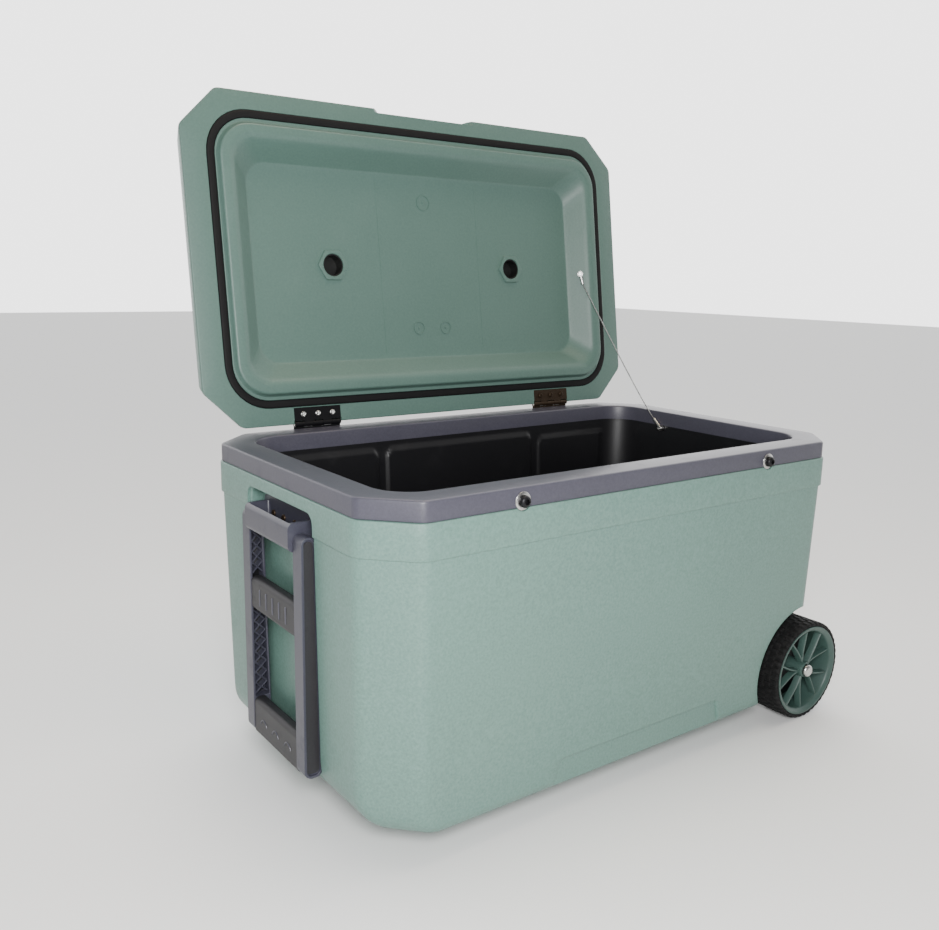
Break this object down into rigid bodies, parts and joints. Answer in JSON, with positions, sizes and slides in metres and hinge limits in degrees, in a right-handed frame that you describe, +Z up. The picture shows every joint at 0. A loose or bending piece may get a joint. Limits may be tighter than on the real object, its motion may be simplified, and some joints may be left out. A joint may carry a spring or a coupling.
{
  "type": "wheeled cooler box",
  "caption": "Wheeled insulated cooler box with a hinged lid, a cable lid stay, a fold-out tow handle, spoked wheels and a drain plug.",
  "frame": {"origin": "on the floor, under the middle of the whole open chest's outline: the middle of the box's rim stands at x -2.0 mm, y -48.9 mm", "axes": "+Z up, +X towards the wheel end, -Y towards the front; stored with the lid open"},
  "size_m": [0.778, 0.5566, 0.8331],
  "materials": {
    "body_plastic": "satin",
    "collar_plastic": "satin",
    "handle_plastic": "satin",
    "liner_plastic": "satin",
    "foam": "matte",
    "rubber": "matte",
    "tyre": "matte",
    "steel": "satin",
    "dark_steel": "satin",
    "bronze": "satin",
    "bush_nylon": "satin"
  },
  "bodies": {
    "box": {"outer_shell": "body_plastic", "liner": "liner_plastic", "body_foam": "foam", "rim_collar": "collar_plastic", "stud_bolts": "dark_steel", "stud_washers": "steel", "hinge_box_leaf_left": "dark_steel", "hinge_box_leaf_right": "bronze", "hinge_pin_left": "steel", "hinge_pin_right": "steel", "hinge_box_screws_left": "steel", "hinge_box_screws_right": "bronze", "stay_tub_screw": "steel", "stay_tub_ferrule": "steel", "stay_cable": "steel", "handle_bracket": "handle_plastic", "bracket_screws": "bronze", "handle_pivot_pins": "steel", "foot_blocks": "handle_plastic", "foot_pads": "rubber", "foot_screws": "steel", "axle": "steel", "axle_sleeve": "liner_plastic", "axle_washers": "bush_nylon", "axle_caps": "steel", "drain_fitting": "liner_plastic", "drain_nut": "liner_plastic", "drain_gasket": "rubber"},
    "lid": {"lid_outer_shell": "body_plastic", "lid_inner_panel": "body_plastic", "lid_foam": "foam", "lid_gasket": "rubber", "port_plugs": "body_plastic", "hinge_lid_leaf_left": "dark_steel", "hinge_lid_leaf_right": "bronze", "hinge_lid_screws_left": "steel", "hinge_lid_screws_right": "bronze", "stay_lid_screw": "steel", "stay_lid_ferrule": "steel"},
    "handle": {"handle_arm_front": "handle_plastic", "handle_arm_rear": "handle_plastic", "handle_mid_grip": "handle_plastic", "handle_end_grip": "handle_plastic"},
    "wheel_front": {"tyre_front": "tyre", "wheel_rim_front": "body_plastic", "wheel_bush_front": "bush_nylon"},
    "wheel_rear": {"tyre_rear": "tyre", "wheel_rim_rear": "body_plastic", "wheel_bush_rear": "bush_nylon"},
    "drain_plug": {"drain_plug": "handle_plastic", "drain_plug_seal": "rubber"}
  },
  "joints": [
    {"name": "lid_hinge", "type": "hinge", "parent": "box", "child": "lid", "pos_m": [-0.002, 0.1686, 0.402], "axis": [1, 0, 0], "range_deg": [0, 98.16], "deforming": ["stay_cable"]},
    {"name": "handle_swing", "type": "hinge", "parent": "box", "child": "handle", "pos_m": [-0.375, -0.0489, 0.325], "axis": [0, 1, 0], "range_deg": [0, 120]},
    {"name": "wheel_front_spin", "type": "hinge", "parent": "box", "child": "wheel_front", "pos_m": [0.319, -0.2489, 0.07], "axis": [0, 1, 0], "continuous": true},
    {"name": "wheel_rear_spin", "type": "hinge", "parent": "box", "child": "wheel_rear", "pos_m": [0.319, 0.1511, 0.07], "axis": [0, 1, 0], "continuous": true},
    {"name": "drain_plug_turn", "type": "hinge", "parent": "box", "child": "drain_plug", "pos_m": [0.148, 0.1711, 0.092], "axis": [0, 1, 0], "range_deg": [0, 90]}
  ]
}
